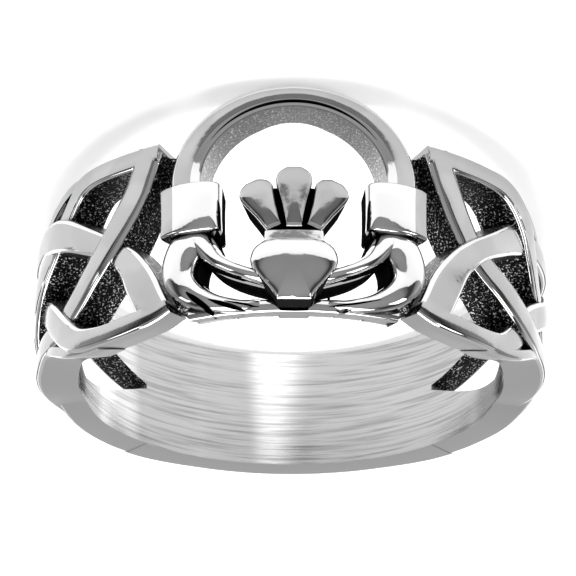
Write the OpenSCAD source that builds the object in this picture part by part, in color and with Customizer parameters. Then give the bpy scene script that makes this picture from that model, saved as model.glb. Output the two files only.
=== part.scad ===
// Cast silver ring: two hands hold a crowned heart inside an arch, between pierced knotwork shoulders.
// The ring is drawn upright about its own axis: the head faces -Y and the crown points to +Z.
// Module resting() then lays it on its crown side, as it lies on a table.
// All lengths are millimetres and all angles are degrees.

/* [Finger hole] */
// Diameter of the finger hole
bore_d = 17.3; // [15:0.1:21]

/* [Shank] */
// Wall of the plain shank at the back
shank_t = 1.35; // [1:0.05:2]
// Width of the plain shank at the back
shank_w = 4.9; // [3.6:0.1:6]
// Width of the band at the wearer's sides, where the knotwork is narrowest
side_w = 5.3; // [4.4:0.1:6.4]
// Flat bevel along both edges of the shank
shank_bevel = 0.3; // [0.1:0.05:0.45]

/* [Knotwork] */
// Width of the band across the shoulders, beside the head
shoulder_w = 7.9; // [6.8:0.1:9]
// Wall of the knotwork, from the finger hole to the tops of the strands
knot_t = 1.75; // [1.4:0.05:2.2]
// Width of a crossing strand
strand_w = 1.1; // [0.9:0.05:1.3]
// Angle from the middle of the head at which the knotwork ends in the shank
knot_end = 146; // [138:1:152]
// Height by which a strand rises over, or dips under, the one that it crosses
weave = 0.13; // [0.05:0.01:0.2]
// Bevel along the edges of each strand
strand_bevel = 0.16; // [0.08:0.01:0.25]

/* [Head] */
// Height of the arch's top above the middle of the band
arch_rise = 6.05; // [5.4:0.05:7]
// Depth of the head's lower edge below the middle of the band
head_drop = 4.0; // [3.8:0.05:4.4]
// Half the arch's outer width, measured round the band
arch_half = 5.45; // [5.1:0.05:5.9]
// Width of the arch's metal at its top
arch_w = 1.2; // [1:0.05:1.5]
// Width of the arch's metal at the cuffs
arch_leg_w = 1.6; // [1.4:0.05:1.9]
// Wall of the arch, from the finger hole to its top
arch_t = 1.85; // [1.5:0.05:2.2]

/* [Cuffs and hands] */
// Length of a cuff along the arm
cuff_l = 2.2; // [1.6:0.1:2.6]
// Width of a cuff across the arm
cuff_w = 2.65; // [2.2:0.05:3]
// Wall of a cuff, from the finger hole to its top
cuff_t = 2.1; // [1.8:0.05:2.5]
// Wall of a hand, from the finger hole to its top
hand_t = 1.9; // [1.5:0.05:2.2]

/* [Heart and crown] */
// Width of the heart
heart_w = 3.55; // [3:0.05:4]
// Height of the heart
heart_h = 2.75; // [2.4:0.05:3]
// Wall of the heart at its middle
heart_t = 2.3; // [1.9:0.05:2.6]
// Height of the crown above the heart
crown_h = 3.2; // [2.6:0.05:3.4]
// Width across the crown's three points
crown_w = 4.4; // [3.6:0.05:4.8]
// Wall of the crown at its points
crown_t = 2.1; // [1.8:0.05:2.4]

/* [Hidden] */

bore_r = bore_d / 2;
// Solids start this far inside the finger hole, which then trims them all to one surface
bore_trim = 0.45;
inner_r = bore_r - bore_trim;
// Radius on which widths round the band are measured
band_r = bore_r + knot_t * 0.95;
shank_r = bore_r + shank_t;
knot_r = bore_r + knot_t;

// Angle that an arc of the band spans
function span(s) = s / band_r * 180 / PI;

// Point at an angle from the head's middle, a height and a radius
function on_ring(a, v, r) = [r * sin(a), -r * cos(a), v];

// Goes smoothly from 0 at a to 1 at b
function ease(a, b, x) = let (t = max(0, min(1, (x - a) / (b - a)))) t * t * (3 - 2 * t);

function mix(a, b, t) = a + (b - a) * t;

// One stretch of a smooth curve through four rows, from b to c
function stretch(a, b, c, d, t) =
    0.5 * (2 * b + (c - a) * t + (2 * a - 5 * b + 4 * c - d) * t * t + (3 * b - a - 3 * c + d) * t * t * t);

// Smooth curve through the rows of a table, with n steps between rows
function curve(rows, n) = let (last = len(rows) - 1) [
    for (i = [0:last - 1]) for (j = [0:n - 1])
        stretch(rows[max(i - 1, 0)], rows[i], rows[i + 1], rows[min(i + 2, last)], j / n),
    rows[last]
];

// Half the width of the band at an angle from the head's middle
shoulder_to = 56;
side_from = 82;
function band_half(a) = a < 100
    ? mix(shoulder_w, side_w, ease(shoulder_to, side_from, a)) / 2
    : mix(side_w, shank_w, ease(100, 180, a)) / 2;

// Radius of the tops of the strands: the knotwork thins down to the shank at the wearer's sides
function knot_top(a) = mix(knot_r, shank_r, ease(90, 114, a));

// Closed skin over rings of points that all have as many points
module skin(rings) {
    n = len(rings[0]);
    m = len(rings);
    sides = [
        for (i = [0:m - 2]) for (j = [0:n - 1]) let (k = (j + 1) % n)
            each [[i * n + j, (i + 1) * n + j, (i + 1) * n + k], [i * n + j, (i + 1) * n + k, i * n + k]]
    ];
    near_cap = [for (j = [1:n - 2]) [0, j, j + 1]];
    far_cap = [for (j = [1:n - 2]) [(m - 1) * n, (m - 1) * n + j + 1, (m - 1) * n + j]];
    polyhedron(points = [for (r = rings) each r], faces = concat(sides, near_cap, far_cap));
}

// Bar that follows a path round the band. A row of the path is [arc, height, width, top radius],
// and the profile gives [share of half the width, inset from that side, drop from the top] per corner.
// Two more entries in a row set the foot of the bar's left and right side back by that much more.
module bar(path, profile) {
    last = len(path) - 1;
    skin([
        for (i = [0:last]) let (
            p = path[i],
            d = path[min(i + 1, last)] - path[max(i - 1, 0)],
            l = norm([d[0], d[1]]),
            across = [d[1] / l, -d[0] / l]
        ) [
            for (c = profile) let (
                back = len(p) > 4 && c[2] < 0 ? p[c[0] > 0 ? 5 : 4] : 0,
                x = c[0] * p[2] / 2 - sign(c[0]) * (c[1] + back),
                r = c[2] < 0 ? inner_r : p[3] - c[2]
            ) on_ring(span(p[0] + across[0] * x), p[1] + across[1] * x, r)
        ]
    ]);
}

// Profile of a strand: upright walls, bevelled edges and a slightly crowned top
strand_profile = [
    [-1, 0, -1], [-1, 0, strand_bevel], [-1, strand_bevel, 0.03],
    [1, strand_bevel, 0.03], [1, 0, strand_bevel], [1, 0, -1]
];

// Profile of a rounded limb, such as a hand
limb_profile = [
    [-1, 0, -1], [-1, 0, 0.5], [-1, 0.12, 0.2], [-0.4, 0, 0], [0.4, 0, 0], [1, 0.12, 0.2], [1, 0, 0.5], [1, 0, -1]
];

// The knotwork of one side is four strands. A and C part at a point beside the arch, B and D at
// a point beside the hand. Rows: [percent of the knotwork's length, height as percent of the
// way to the band's edge, width as percent of strand_w, 1 over or -1 under the strand crossed].
STRAND_A = [
    [6.6, 112, 112, 0], [8.2, 86, 115, 0], [9.8, 63, 118, 0], [12.5, 34, 118, 0.6], [16, 6, 116, 1],
    [20, -16, 115, 0.6], [25, -35, 118, -0.5], [30, -55, 120, -1], [36, -80, 118, -1], [43, -98, 100, 0], [50, -100, 90, 0],
    [60, -99, 90, 0.6], [67, -92, 95, 1], [75, -84, 98, 0.6], [83, -68, 105, 0], [92, -60, 150, 0], [100, -50, 180, 0]
];
STRAND_B = [
    [5.8, -110, 140, 0], [6.9, -95, 140, 0], [9.2, -62, 140, 0], [12, -30, 114, -0.6], [16, -5, 97, -1],
    [20, 11, 95, -0.6], [26, 33, 110, 0.5], [31, 55, 125, 1], [36, 78, 125, 1], [42, 97, 105, 0.6], [50, 100, 90, 0],
    [60, 99, 90, -0.6], [67, 92, 95, -1], [75, 84, 98, -0.6], [83, 68, 105, 0], [92, 60, 150, 0], [100, 50, 180, 0]
];
STRAND_C = [
    [4.6, 100, 82, 0], [12, 100, 80, 0], [20, 100, 78, 0], [25, 99, 85, -0.5], [30, 93, 100, -1], [34, 81, 110, -1],
    [38, 62, 110, 0], [44, 30, 105, 1], [50, -1, 100, 1], [56, -41, 95, 0.6], [61, -71, 90, -0.6],
    [67, -91, 90, -1], [75, -100, 85, -0.6], [87, -100, 80, 0], [100, -100, 70, 0]
];
STRAND_D = [
    [2.7, -93, 60, 0], [5.5, -100, 72, 0], [8.5, -104, 80, 0], [14, -106, 80, 0], [20, -105, 80, 0.3],
    [26, -101, 95, 1], [31, -89, 110, 1],
    [37, -62, 112, 0.6], [44, -30, 105, -1], [50, 1, 100, -1], [56, 41, 95, -0.6], [61, 71, 90, 0.6],
    [67, 91, 90, 1], [75, 100, 85, 0.6], [87, 100, 80, 0], [100, 100, 70, 0]
];

// Edges of the band where one strand leaves it and the next arrives. The last number sets the
// top below the strands' tops, in the same units as above.
EDGE_LOW = [
    [21, -105, 44, 1.3], [26, -104, 44, 0.6], [31, -103, 44, 0.2], [36, -102, 44, 0.2], [41, -100, 42, 0.7],
    [46, -97, 38, 1.4]
];
EDGE_HIGH = [
    [23, 96, 40, 1.4], [28, 99, 44, 0.7], [33, 99, 44, 0.2], [38, 99, 44, 0.2], [42, 98, 42, 0.7], [47, 95, 38, 1.4]
];

// Arc at which the knotwork's front point touches the head
knot_from = arch_half * 0.89;

// How far the rims lean in towards the finger hole beside the head: the crown's side, the heart's side
rim_lean = [0.28, 0.5];

// How far the strands' ends lie under the shank's skin
end_sink = 0.05;

// Path of a strand; turn swaps which strands lie over on the other side of the head
function strand_path(rows, turn) = [
    for (q = curve(rows, 3)) let (
        arc = mix(knot_from, knot_end * PI / 180 * band_r, q[0] / 100),
        w = strand_w * q[2] / 100,
        a = span(arc),
        sink = end_sink * ease(knot_end - 14, knot_end - 7, a),
        lean = rim_lean * (1 - ease(shoulder_to + 4, side_from, a))
    ) [
        arc, (band_half(a) - sink - w / 2) * q[1] / 100, w, knot_top(a) - sink + turn * weave * q[3],
        lean[0] * ease(75, 98, q[1]), lean[1] * ease(75, 98, -q[1])
    ]
];

module shoulder(turn) {
    bar(strand_path(STRAND_A, turn), strand_profile);
    bar(strand_path(STRAND_B, turn), strand_profile);
    bar(strand_path(STRAND_C, turn), strand_profile);
    bar(strand_path(STRAND_D, turn), strand_profile);
    bar(strand_path(EDGE_LOW, -1), strand_profile);
    bar(strand_path(EDGE_HIGH, -1), strand_profile);
}

// Profile of the shank at an angle: flat inside, crowned outside, bevelled at both edges.
// The bevels and the crowning grow from those of the strands.
function shank_ring(a) = let (
    side = min(a, 360 - a),
    grown = ease(knot_end - 8, knot_end + 14, side),
    h = band_half(side),
    bevel = mix(strand_bevel, shank_bevel, grown),
    crown = mix(0.02, shank_t * 0.1, grown),
    c = [[-h, inner_r], [-h, shank_r - bevel - crown], [-h + bevel, shank_r - crown],
         [-h * 0.35, shank_r], [h * 0.35, shank_r],
         [h - bevel, shank_r - crown], [h, shank_r - bevel - crown], [h, inner_r]]
) [for (p = c) on_ring(a, p[0], p[1])];

module shank() {
    step = 4;
    from = knot_end - 8;
    n = 2 * ceil((180 - from) / step);
    skin([for (i = [n:-1:0]) shank_ring(from + i * (360 - 2 * from) / n)]);
}

// Arch over the crown: half an ellipse that springs from the cuffs. Its outside rolls over
// towards the finger hole, and its inside is a wall that opens out towards the finger hole.
spring_v = 1.9;
arch_edge = [0.22, 0.06];
arch_roll = [0.05, 1.2];
arch_profile = [
    [-1, 0, -1], [-1, 0, 0.22], [-1, 0.16, 0.05], [0, 0, 0], [1, arch_edge[0], arch_edge[1]], [1, 0.05, 0.42],
    [1, 0, 0.8], [1, arch_roll[0], arch_roll[1]], [1, 0.3, -1]
];

module arch() {
    leg = arch_leg_w;
    leg_foot = 0.36;
    top_foot = -0.06;
    r = bore_r + arch_t;
    steps = 36;
    path = concat(
        [[-arch_half + leg / 2, spring_v - cuff_l * 0.7, leg, r, 0, leg_foot]],
        [for (i = [0:steps]) let (
            a = -90 + 180 * i / steps,
            side = sin(a) * sin(a),
            w = mix(arch_w, leg, side)
        ) [
            (arch_half - w / 2) * sin(a), spring_v + (arch_rise - spring_v - w / 2) * cos(a), w, r,
            0, mix(top_foot, leg_foot, side)
        ]],
        [[arch_half - leg / 2, spring_v - cuff_l * 0.7, leg, r, 0, leg_foot]]
    );
    bar(path, [for (i = [len(arch_profile) - 1:-1:0]) let (c = arch_profile[i]) [-c[0], c[1], c[2]]]);
}

// Middle of the arm, round the band and along it
arm_s = arch_half - arch_leg_w * 0.68;
cuff_v = 0.6;

cuff_profile = [
    [-1, 0.42, -1], [-1, 0, 0.45], [-1, 0.14, 0.24], [-0.45, 0, 0.03], [0.2, 0, 0], [1, 0.3, 0.16], [1, 0, 0.5],
    [1, 0.42, -1]
];

module cuff() {
    round_off = 0.15;
    r = bore_r + cuff_t;
    bar([
        [arm_s, cuff_v + cuff_l / 2, cuff_w - 2 * round_off, r - round_off],
        [arm_s, cuff_v + cuff_l / 2 - round_off, cuff_w, r],
        [arm_s, cuff_v - cuff_l / 2 + round_off, cuff_w, r],
        [arm_s, cuff_v - cuff_l / 2, cuff_w - 2 * round_off, r - round_off]
    ], cuff_profile);
}

// Rows of a hand's two parts: [share of arm_s, share of head_drop, width as share of cuff_w, lift,
// set-back of the foot below]. The palm sweeps round below the heart, the fingers reach its side.
PALM = [
    [1.00, 0.00, 0.50, -0.15, 0], [1.02, -0.12, 0.52, -0.12, 0], [1.07, -0.24, 0.60, 0, 0],
    [1.13, -0.42, 0.60, 0.05, 0], [1.12, -0.60, 0.56, 0.05, 0.05], [1.01, -0.76, 0.48, 0.0, 0.35],
    [0.80, -0.88, 0.34, -0.2, 0.45], [0.55, -0.925, 0.24, -0.45, 0.42], [0.38, -0.9, 0.19, -0.7, 0.45],
    [0.20, -0.87, 0.15, -1.05, 0.5]
];
FINGERS = [
    [1.00, 0.00, 0.42, -0.2, 0], [0.93, -0.16, 0.42, -0.15, 0], [0.84, -0.31, 0.34, -0.1, 0],
    [0.74, -0.44, 0.28, -0.05, 0], [0.59, -0.55, 0.25, 0.0, 0], [0.42, -0.63, 0.23, 0.0, 0],
    [0.25, -0.68, 0.23, -0.1, 0]
];

function hand_path(rows) = [
    for (q = curve(rows, 2)) [
        q[0] * arm_s, q[1] * head_drop, q[2] * cuff_w, bore_r + hand_t + q[3], q[4], q[0] < 0.7 ? -q[4] : 0
    ]
];

module hand() {
    bar(hand_path(PALM), limb_profile);
    bar(hand_path(FINGERS), limb_profile);
}

// Dark floor that joins the arch and cuff to the knotwork beside them, and the hand to its point
module link() {
    floor_r = bore_r + knot_t * 0.45;
    bar([
        [arch_half + 0.2, cuff_v, 1.2, floor_r],
        [arch_half + 0.15, cuff_v + cuff_l * 0.5, 1.1, floor_r],
        [arch_half * 0.97, shoulder_w * 0.43, 1.1, floor_r + 0.2]
    ], strand_profile);
    bar([
        [arch_half * 0.99, -head_drop * 0.42, 0.8, floor_r],
        [arch_half * 0.94, -head_drop * 0.62, 0.9, floor_r + 0.5],
        [arch_half * 0.88, -head_drop * 0.82, 0.9, floor_r + 0.4]
    ], strand_profile);
}

// Rim below the hands, which closes the head towards the fingertip
module base() {
    w = head_drop * 0.13;
    bar([
        for (s = [-4:4]) [
            s / 4 * arch_half * 0.86, -head_drop + w / 2, w, bore_r + hand_t * 0.6, -0.4, mix(0.36, 0.5, abs(s) / 4)
        ]
    ], strand_profile);
}

// Outline of the heart: [share of its height from the top, share of half its width]
HEART = [
    [0, 0.45], [0.05, 0.72], [0.16, 0.92], [0.32, 1.0], [0.48, 0.94], [0.65, 0.76], [0.82, 0.55], [1, 0.38]
];
heart_top = -head_drop + heart_h + head_drop * 0.04;

// Plate cut to an outline and raised to a low dome; lifts are [share of the outline, radius]
module dome(outline, mid, lifts) {
    n = len(outline);
    skin([
        for (l = lifts) [
            for (p = outline) let (q = mid + (p - mid) * l[0]) on_ring(span(q[0]), q[1], l[1])
        ]
    ]);
}

module heart() {
    half = [for (q = curve(HEART, 2)) [q[1] * heart_w / 2, heart_top - q[0] * heart_h]];
    outline = concat([for (p = half) [-p[0], p[1]]], [for (i = [len(half) - 1:-1:0]) half[i]]);
    r = bore_r + heart_t;
    edge = heart_t * 0.22;
    dome(outline, [0, heart_top - heart_h * 0.42], [
        [1, inner_r], [1, r - edge], [0.93, r - edge * 0.6], [0.7, r - edge * 0.2], [0.35, r]
    ]);
}

// Outline of one point of the crown, upright: [share of its height, share of half its width]
CROWN_POINT = [[0, 0.43], [0.35, 0.66], [0.65, 0.92], [0.8, 1.0], [0.92, 0.8], [1, 0.35]];
crown_foot = heart_top + crown_h * 0.15;

// One point of the crown, leaning out by an angle and as high and wide as stated
module crown_point(lean, high, wide, foot) {
    half = [for (q = curve(CROWN_POINT, 2)) [q[1] * wide / 2, q[0] * high]];
    flat = concat(half, [for (i = [len(half) - 1:-1:0]) [-half[i][0], half[i][1]]]);
    outline = [
        for (p = flat)
            [foot + p[0] * cos(lean) + p[1] * sin(lean), crown_foot + p[1] * cos(lean) - p[0] * sin(lean)]
    ];
    mid = [foot + high * 0.6 * sin(lean), crown_foot + high * 0.6 * cos(lean)];
    r = bore_r + crown_t;
    dome(outline, mid, [[1, inner_r], [1, r - 0.2], [0.86, r - 0.04], [0.5, r]]);
}

module crown() {
    mid_h = heart_top + crown_h - crown_foot;
    outer_h = mid_h * 0.84;
    mid_w = crown_w * 0.345;
    outer_w = crown_w * 0.33;
    outer_foot = crown_w * 0.177;
    lean = asin((crown_w / 2 - outer_foot - outer_w * 0.46) / (outer_h * 0.8));
    crown_point(0, mid_h, mid_w, 0);
    for (side = [-1, 1]) crown_point(side * lean, outer_h, outer_w, side * outer_foot);
    // Band at the crown's foot, and the web behind the grooves between the points
    band_top = bore_r + crown_t * 0.88;
    bar([
        [0, heart_top - 0.5, crown_w * 0.57, band_top],
        [0, crown_foot - 0.11, crown_w * 0.54, band_top]
    ], strand_profile);
    web_r = bore_r + crown_t * 0.55;
    bar([
        [0, heart_top, crown_w * 0.38, web_r],
        [0, crown_foot + mid_h * 0.66, crown_w * 0.6, web_r]
    ], strand_profile);
}

module head() {
    arch();
    base();
    heart();
    crown();
    for (side = [0, 1]) mirror([side, 0, 0]) {
        cuff();
        hand();
        link();
    }
}

// Where the ring touches the table, as [radius, height]: the top of the arch in front, the shank's edge behind
front_touch = [bore_r + arch_t - arch_roll[1], arch_rise - arch_roll[0]];
back_touch = [shank_r - shank_bevel - shank_t * 0.1, shank_w / 2];
lie_angle = atan2(front_touch[1] - back_touch[1], front_touch[0] + back_touch[0]);
lie_height = back_touch[1] * cos(lie_angle) + back_touch[0] * sin(lie_angle);
// How far the ring as it lies reaches to the front and to the back of the finger hole's middle
reach_front = (bore_r + arch_t - arch_edge[1]) * cos(lie_angle) + (arch_rise - arch_edge[0]) * sin(lie_angle);
reach_back = (shank_r - shank_t * 0.1) * cos(lie_angle) + (shank_w / 2 - shank_bevel) * sin(lie_angle);

// Lays the ring on its crown side, with the head to the front and the origin under the middle
module resting() {
    translate([0, (reach_front - reach_back) / 2, lie_height])
        rotate([-lie_angle, 0, 0]) rotate([0, 180, 0]) children();
}

module ring() {
    color("silver") resting() resize([0, 0, 0]) difference() {
        union() {
            shank();
            head();
            shoulder(-1);
            mirror([1, 0, 0]) shoulder(1);
        }
        cylinder(r = bore_r, h = 4 * arch_rise, center = true, $fn = 120);
    }
}

ring();
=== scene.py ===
"""Visual model of a cast silver ring: two hands hold a crowned heart inside an arch.

The solids are shaped in the ring's own coordinates, in millimetres: the head faces -Y, the crown
points to +Z and the finger hole runs along Z. They are fused into one casting, which is then laid
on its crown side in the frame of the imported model, in metres.
"""

import logging
import math
from dataclasses import dataclass, field
from enum import Enum
from typing import Callable, Mapping, Sequence

import bmesh
import bpy
from mathutils import Matrix, Vector

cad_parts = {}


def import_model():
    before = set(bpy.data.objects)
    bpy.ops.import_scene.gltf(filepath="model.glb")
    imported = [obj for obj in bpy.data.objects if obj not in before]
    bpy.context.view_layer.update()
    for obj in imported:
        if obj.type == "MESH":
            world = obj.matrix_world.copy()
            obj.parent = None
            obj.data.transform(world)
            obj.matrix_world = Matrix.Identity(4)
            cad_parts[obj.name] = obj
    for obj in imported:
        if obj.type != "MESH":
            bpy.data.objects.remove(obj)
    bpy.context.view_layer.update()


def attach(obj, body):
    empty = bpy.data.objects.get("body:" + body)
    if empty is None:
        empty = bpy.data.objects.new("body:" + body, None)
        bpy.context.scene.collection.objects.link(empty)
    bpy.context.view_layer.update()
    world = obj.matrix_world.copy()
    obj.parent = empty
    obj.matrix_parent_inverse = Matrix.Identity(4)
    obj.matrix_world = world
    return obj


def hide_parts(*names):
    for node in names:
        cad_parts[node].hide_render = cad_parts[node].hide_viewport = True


LOG = logging.getLogger("ring")
MM = 0.001

Row = tuple[float, ...]
Ring = list[Vector]


def mix(a: float, b: float, t: float) -> float:
    """Return the value a share t of the way from a to b."""
    return a + (b - a) * t


def ease(a: float, b: float, x: float) -> float:
    """Return 0 below a, 1 above b and a smooth step between."""
    t = max(0.0, min(1.0, (x - a) / (b - a)))
    return t * t * (3 - 2 * t)


def curve(p: float, q: float, r: float, s: float, t: float) -> float:
    """Return the value a share t of the way from q to r, on the smooth curve through all four."""
    bend, twist = 2 * p - 5 * q + 4 * r - s, 3 * q - p - 3 * r + s
    return 0.5 * (2 * q + (r - p) * t + bend * t * t + twist * t**3)


def quarter_turn(steps: int) -> list[float]:
    """Return the angles of a quarter turn in equal steps, both ends included, in radians."""
    return [math.pi / 2 * i / steps for i in range(steps + 1)]


def smooth_rows(rows: Sequence[Row], steps: int) -> list[Row]:
    """Lay a smooth curve through the rows of a table.

    Args:
        rows: Rows of numbers, all as long as each other.
        steps: Number of steps from one row to the next.

    Returns:
        The denser table, which passes through every row.
    """
    last = len(rows) - 1
    out: list[Row] = []
    for i in range(last):
        a, b, c, d = rows[max(i - 1, 0)], rows[i], rows[i + 1], rows[min(i + 2, last)]
        for j in range(steps):
            out.append(tuple(curve(*four, j / steps) for four in zip(a, b, c, d)))
    out.append(tuple(rows[last]))
    return out


@dataclass(frozen=True)
class Band:
    """Sizes that the whole ring shares, in millimetres and degrees.

    Attributes:
        bore_r: Radius of the finger hole.
        foot_r: Radius that the solids reach inside the finger hole, before it is opened.
        shank_t: Wall of the shank.
        shank_w: Width of the shank at the back.
        side_w: Width of the band at the wearer's sides.
        shoulder_w: Width of the band across the shoulders.
        knot_t: Wall of the knotwork.
        knot_end: Angle at which the knotwork ends in the shank.
        shoulder_to: Angle at which the shoulders begin to narrow.
        side_from: Angle at which the shoulders have narrowed to the sides.
        back_from: Angle at which the sides begin to narrow to the back.
        thin_from: Angle at which the knotwork begins to thin to the shank.
        thin_to: Angle at which the knotwork is as thin as the shank.
        arch_rise: Height of the arch's top above the middle of the band.
        arch_half: Half the arch's outer width, measured round the band.
        arch_t: Wall of the arch.
        head_drop: Depth of the head's lower edge below the middle of the band.
    """

    bore_r: float = 8.65
    foot_r: float = 8.2
    shank_t: float = 1.35
    shank_w: float = 4.9
    side_w: float = 5.3
    shoulder_w: float = 7.9
    knot_t: float = 1.75
    knot_end: float = 146.0
    shoulder_to: float = 56.0
    side_from: float = 82.0
    back_from: float = 100.0
    thin_from: float = 90.0
    thin_to: float = 114.0
    arch_rise: float = 6.05
    arch_half: float = 5.45
    arch_t: float = 1.85
    head_drop: float = 4.0

    @property
    def band_r(self) -> float:
        """Return the radius on which widths round the band are measured."""
        return self.bore_r + self.knot_t * 0.95

    @property
    def shank_r(self) -> float:
        """Return the outer radius of the shank."""
        return self.bore_r + self.shank_t

    def span(self, arc: float) -> float:
        """Return the angle that an arc of the band spans, in degrees."""
        return math.degrees(arc / self.band_r)

    def half(self, angle: float) -> float:
        """Return half the width of the band.

        Args:
            angle: Angle from the head's middle, in degrees.

        Returns:
            The half width there.
        """
        a = abs(angle)
        if a < self.back_from:
            return mix(self.shoulder_w, self.side_w, ease(self.shoulder_to, self.side_from, a)) / 2
        return mix(self.side_w, self.shank_w, ease(self.back_from, 180, a)) / 2

    def knot_top(self, angle: float) -> float:
        """Return the radius of the strands' tops at an angle from the head's middle."""
        thinned = ease(self.thin_from, self.thin_to, abs(angle))
        return mix(self.bore_r + self.knot_t, self.shank_r, thinned)

    def place(self, angle: float, height: float, radius: float) -> Vector:
        """Return the point at an angle in degrees, a height and a radius."""
        a = math.radians(angle)
        return Vector((radius * math.sin(a), -radius * math.cos(a), height))


@dataclass(frozen=True)
class Lying:
    """How the ring lies on its crown side, on the arch in front and the shank's edge behind.

    Every point is given by its distance from the finger hole's axis and its height.

    Attributes:
        front: Point of the arch that touches the table.
        back: Point of the shank's edge that touches the table.
        reach_front: Point that reaches furthest forwards as the ring lies.
        reach_back: Point that reaches furthest back.
    """

    front: tuple[float, float] = (9.3, 6.0)
    back: tuple[float, float] = (9.565, 2.45)
    reach_front: tuple[float, float] = (10.44, 5.83)
    reach_back: tuple[float, float] = (9.865, 2.15)

    @property
    def tilt(self) -> float:
        """Return the tilt of the ring as it lies, in radians."""
        return math.atan2(self.front[1] - self.back[1], self.front[0] + self.back[0])

    def matrix(self) -> Matrix:
        """Return the transform from the ring's own millimetres to the frame's metres."""
        c, s = math.cos(self.tilt), math.sin(self.tilt)
        height = self.back[1] * c + self.back[0] * s
        ahead = self.reach_front[0] * c + self.reach_front[1] * s
        behind = self.reach_back[0] * c + self.reach_back[1] * s
        move = Matrix.Translation((0, (ahead - behind) / 2, height))
        turn = Matrix.Rotation(-self.tilt, 4, "X") @ Matrix.Rotation(math.pi, 4, "Y")
        return Matrix.Scale(MM, 4) @ move @ turn


class Finish(Enum):
    """The finishes of the casting, in the order of its material slots."""

    # The first two are one polished silver, painted darker as shade and lighter as a highlight.
    PAINTED_SHADE = 0
    PAINTED_HIGHLIGHT = 1
    WORN = 2
    BLACKENED = 3
    INKED = 4
    RIM = 5
    BORE = 6


class Side(Enum):
    """The two shoulders, as the photograph shows them."""

    LEFT = -1
    RIGHT = 1


@dataclass(frozen=True)
class Corner:
    """One corner of a bar's section.

    Attributes:
        share: Place across the bar, from -1 at its left side to 1 at its right side.
        inset: Distance in from that side.
        drop: Distance down from the top, or None at the foot inside the finger hole.
        finish: Finish of the strip from this corner to the next.
    """

    share: float
    inset: float
    drop: float | None
    finish: Finish = Finish.PAINTED_SHADE


def rounded(bevel: float, crown: float, steps: int = 4, across: int = 6, wall: float = 0.8,
            skin: Finish = Finish.PAINTED_SHADE, edge: Finish = Finish.PAINTED_HIGHLIGHT,
            side: Finish = Finish.BLACKENED) -> list[Corner]:
    """Return the section of a bar with rounded edges and a crowned top.

    Args:
        bevel: Radius of the rounded edges.
        crown: Height of the crowned top over its edges.
        steps: Number of steps round each edge.
        across: Number of steps across the top.
        wall: Depth of the extra row of corners on both walls.
        skin: Finish of the top, by default the polish painted darker as shade.
        edge: Finish of the rounded edges, by default the polish painted lighter as a highlight.
        side: Finish of the walls.

    Returns:
        The corners from the left foot over the top to the right foot.
    """
    roll = [
        (bevel * (1 - math.cos(t)), crown + bevel * (1 - math.sin(t))) for t in quarter_turn(steps)
    ]
    left = [Corner(-1, 0, None, side), Corner(-1, 0, crown + bevel + wall, side)]
    left += [Corner(-1, i, d, edge) for i, d in roll]
    shares = [-0.72 + 1.44 * i / across for i in range(across + 1)]
    top = [Corner(s, 0, crown * s * s, skin) for s in shares]
    right = [Corner(1, i, d, edge) for i, d in reversed(roll[1:])]
    right += [Corner(1, *roll[0], side), Corner(1, 0, crown + bevel + wall, side), Corner(1, 0, None, side)]
    return left + top + right


def half_round(depth: float, fullness: float = 2.4, steps: int = 16, shaded: float = 0.3,
               wall: Finish = Finish.PAINTED_SHADE) -> list[Corner]:
    """Return the section of a limb whose top rolls over to both sides.

    Args:
        depth: Drop of the top at its sides.
        fullness: Power of the roll: 2 is an ellipse, and more is squarer.
        steps: Number of steps over the top.
        shaded: Share of the top, from the left, that is painted darker as shade; the rest is painted lighter
            as a highlight.
        wall: Finish of the left wall.

    Returns:
        The corners from the left foot over the top to the right foot.
    """
    corners = [Corner(-1, 0, None, wall)]
    for i in range(steps):
        t = math.pi * i / steps
        share = -math.copysign(abs(math.cos(t)) ** (2 / fullness), math.cos(t))
        drop = depth * (1 - math.sin(t) ** (2 / fullness))
        # Painted shade on the left share of the top, a painted highlight on the rest.
        skin = Finish.PAINTED_SHADE if i < shaded * steps else Finish.PAINTED_HIGHLIGHT
        corners.append(Corner(share, 0, drop, skin))
    return corners + [Corner(1, 0, depth, Finish.INKED), Corner(1, 0, None, Finish.INKED)]


def domed(top: float, rise: float, steps: int, power: float) -> list[tuple[float, float]]:
    """Return the strips of a dome above its straight edge.

    Args:
        top: Radius of the dome's middle.
        rise: Height of the dome over its edge.
        steps: Number of steps from the edge to the middle.
        power: Power of the outline's shrinking: the smaller, the blunter the dome.

    Returns:
        Pairs of the share of the outline and the radius that it is raised to.
    """
    turns = quarter_turn(steps)[1:steps]
    return [(math.cos(t) ** power, top - rise * (1 - math.sin(t) ** 0.9)) for t in turns]


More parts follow.
